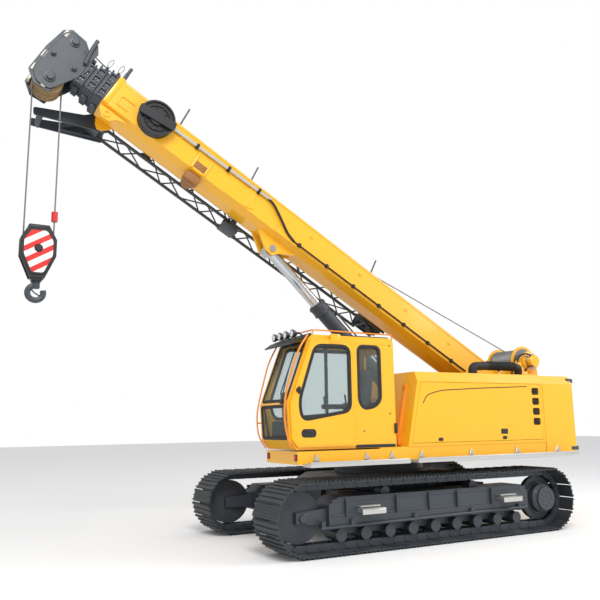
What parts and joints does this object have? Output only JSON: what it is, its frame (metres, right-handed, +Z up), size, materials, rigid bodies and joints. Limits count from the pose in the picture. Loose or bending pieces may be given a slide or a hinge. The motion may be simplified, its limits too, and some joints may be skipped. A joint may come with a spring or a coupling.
{
  "type": "telescopic boom crawler crane",
  "caption": "Tracked crane with slewing house, side cab, luffing telescopic boom and hook, for lifting on rough ground.",
  "frame": {"origin": "centre of the whole machine's box, on the ground under the tracks", "axes": "+X forward along the boom, +Y to the operator's left (cab side), +Z up"},
  "size_m": [9.5148, 3.26, 7.5851],
  "materials": {
    "crane_yellow": "glossy",
    "slate_paint": "satin",
    "track_black": "matte",
    "bare_steel": "polished",
    "sheave_steel": "worn",
    "walkway_aluminium": "satin",
    "cab_glass": "clear",
    "black_trim": "matte",
    "wire_rope": "brushed"
  },
  "bodies": {
    "undercarriage": {"carbody": "slate_paint", "slew_ring": "slate_paint"},
    "crawler_left": {"track_frame_left": "slate_paint", "roller_bank_left": "track_black", "idler_left": "slate_paint", "sprocket_left": "slate_paint", "track_left": "track_black"},
    "crawler_right": {"track_frame_right": "slate_paint", "roller_bank_right": "track_black", "idler_right": "slate_paint", "sprocket_right": "slate_paint", "track_right": "track_black"},
    "superstructure": {"slewing_deck": "crane_yellow", "counterweight": "crane_yellow", "housing_left": "crane_yellow", "housing_right": "crane_yellow", "fuel_tank": "crane_yellow", "engine_block": "slate_paint", "catwalk_front": "walkway_aluminium", "catwalk_rear": "walkway_aluminium", "winch_frame": "crane_yellow"},
    "housing_door": {"housing_door_left": "crane_yellow"},
    "winch": {"winch_drum": "crane_yellow"},
    "cab": {"cab_shell": "crane_yellow", "windscreen": "cab_glass", "front_glass_low": "cab_glass", "side_glass_rear": "cab_glass", "side_glass_right": "cab_glass", "back_glass": "cab_glass", "operator_seat": "black_trim", "console": "black_trim"},
    "sliding_door": {"cab_door": "crane_yellow", "door_glass": "cab_glass"},
    "boom": {"boom_base": "crane_yellow", "cable_reel": "black_trim", "swingaway_jib": "slate_paint", "lift_cylinder_pin": "bare_steel"},
    "section_2": {"boom_section_2": "slate_paint"},
    "section_3": {"boom_section_3": "slate_paint"},
    "tip": {"boom_tip": "slate_paint"},
    "low_sheave": {"head_sheave_low": "sheave_steel"},
    "top_sheave": {"head_sheave_top": "sheave_steel"},
    "lift_rod": {"lift_cylinder_rod": "bare_steel"},
    "lift_barrel": {"lift_cylinder_barrel": "slate_paint"},
    "hook_falls": {"rope_falls": "wire_rope", "hook_block": "black_trim", "limit_weight": "black_trim"},
    "block_wheel": {"block_sheave": "sheave_steel"},
    "hook": {"hook": "black_trim"}
  },
  "joints": [
    {"name": "slew", "type": "hinge", "parent": "undercarriage", "child": "superstructure", "pos_m": [-1.2374, 0, 1.18], "axis": [0, 0, 1], "continuous": true},
    {"name": "crawler_left_slide", "type": "slide", "parent": "undercarriage", "child": "crawler_left", "axis": [0, 1, 0], "range_m": [0, 0.5]},
    {"name": "crawler_right_slide", "type": "slide", "parent": "undercarriage", "child": "crawler_right", "axis": [0, -1, 0], "range_m": [0, 0.5]},
    {"name": "housing_door_hinge", "type": "hinge", "parent": "superstructure", "child": "housing_door", "pos_m": [-1.2374, 1.4, 2.4], "axis": [1, 0, 0], "range_deg": [0, 85]},
    {"name": "winch_spin", "type": "hinge", "parent": "superstructure", "child": "winch", "pos_m": [-4.4574, 0, 2.9], "axis": [0, 1, 0], "continuous": true},
    {"name": "cab_tilt", "type": "hinge", "parent": "superstructure", "child": "cab", "pos_m": [-0.6074, 0, 1.42], "axis": [0, -1, 0], "range_deg": [0, 18]},
    {"name": "cab_door_slide", "type": "slide", "parent": "cab", "child": "sliding_door", "axis": [-1, 0, 0], "range_m": [0, 0.7]},
    {"name": "boom_luff", "type": "hinge", "parent": "superstructure", "child": "boom", "pos_m": [-3.4874, 0, 2.456], "axis": [0, -1, 0], "range_deg": [-30.2, 49.8]},
    {"name": "telescope_1", "type": "slide", "parent": "boom", "child": "section_2", "axis": [0.8643, 0, 0.503], "range_m": [0, 6.7]},
    {"name": "telescope_2", "type": "slide", "parent": "section_2", "child": "section_3", "axis": [0.8643, 0, 0.503], "range_m": [0, 6.7]},
    {"name": "telescope_3", "type": "slide", "parent": "section_3", "child": "tip", "axis": [0.8643, 0, 0.503], "range_m": [0, 6.7]},
    {"name": "low_sheave_spin", "type": "hinge", "parent": "tip", "child": "low_sheave", "pos_m": [4.46649, 0, 6.7613], "axis": [0, 1, 0], "continuous": true},
    {"name": "top_sheave_spin", "type": "hinge", "parent": "tip", "child": "top_sheave", "pos_m": [4.1403, 0, 7.38139], "axis": [0, 1, 0], "continuous": true},
    {"name": "lift_rod_pivot", "type": "hinge", "parent": "boom", "child": "lift_rod", "pos_m": [0.86286, 0, 4.62923], "axis": [0, -1, 0], "range_deg": [-6, 6]},
    {"name": "lift_barrel_slide", "type": "slide", "parent": "lift_rod", "child": "lift_barrel", "axis": [-0.7212, 0, -0.6927], "range_m": [-0.7, 1.12]},
    {"name": "hook_plumb", "type": "hinge", "parent": "tip", "child": "hook_falls", "pos_m": [4.46649, 0, 6.7613], "axis": [0, -1, 0], "range_deg": [-49.8, 30.2]},
    {"name": "block_sheave_spin", "type": "hinge", "parent": "hook_falls", "child": "block_wheel", "pos_m": [4.46649, 0, 4.2413], "axis": [0, 1, 0], "continuous": true},
    {"name": "hook_swivel", "type": "hinge", "parent": "hook_falls", "child": "hook", "pos_m": [4.46649, 0, 3.9613], "axis": [0, 0, 1], "continuous": true}
  ],
  "couplings": [
    {"joint": "telescope_2", "follows": "telescope_1", "ratio": 1},
    {"joint": "telescope_3", "follows": "telescope_1", "ratio": 1},
    {"joint": "lift_rod_pivot", "follows": "boom_luff", "ratio": -0.005},
    {"joint": "lift_barrel_slide", "follows": "boom_luff", "m_per_rad": 1.25},
    {"joint": "hook_plumb", "follows": "boom_luff", "ratio": -1}
  ]
}
